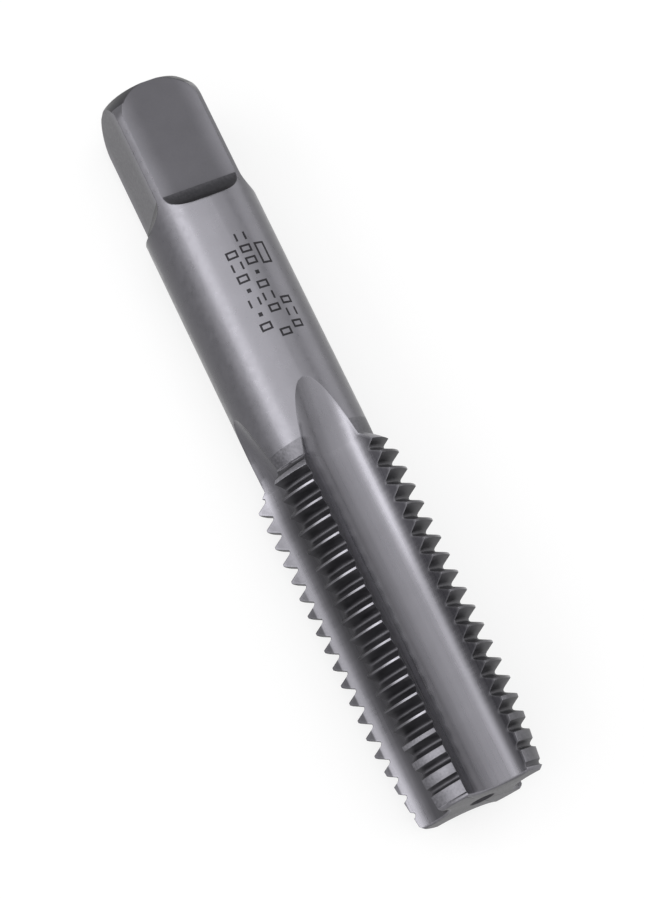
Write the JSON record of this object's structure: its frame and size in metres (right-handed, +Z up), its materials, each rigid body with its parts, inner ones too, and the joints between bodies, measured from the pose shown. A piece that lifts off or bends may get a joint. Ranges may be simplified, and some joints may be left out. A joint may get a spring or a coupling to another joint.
{
  "type": "thread tap",
  "caption": "Straight-fluted hand tap for a coarse metric thread, with a tapered start, a plain round shank and a square driving end.",
  "frame": {"origin": "middle of the tool's footprint, on the surface that it lies on", "axes": "+X towards the cutting end (the axis is tilted 0.9 degrees because the shank is thinner than the thread), +Z up, one flute facing up and one facing down"},
  "size_m": [0.1248, 0.0208, 0.0215],
  "materials": {
    "steel": "ground tool steel, satin"
  },
  "bodies": {
    "root": {"thread_tap": "steel"}
  },
  "joints": []
}
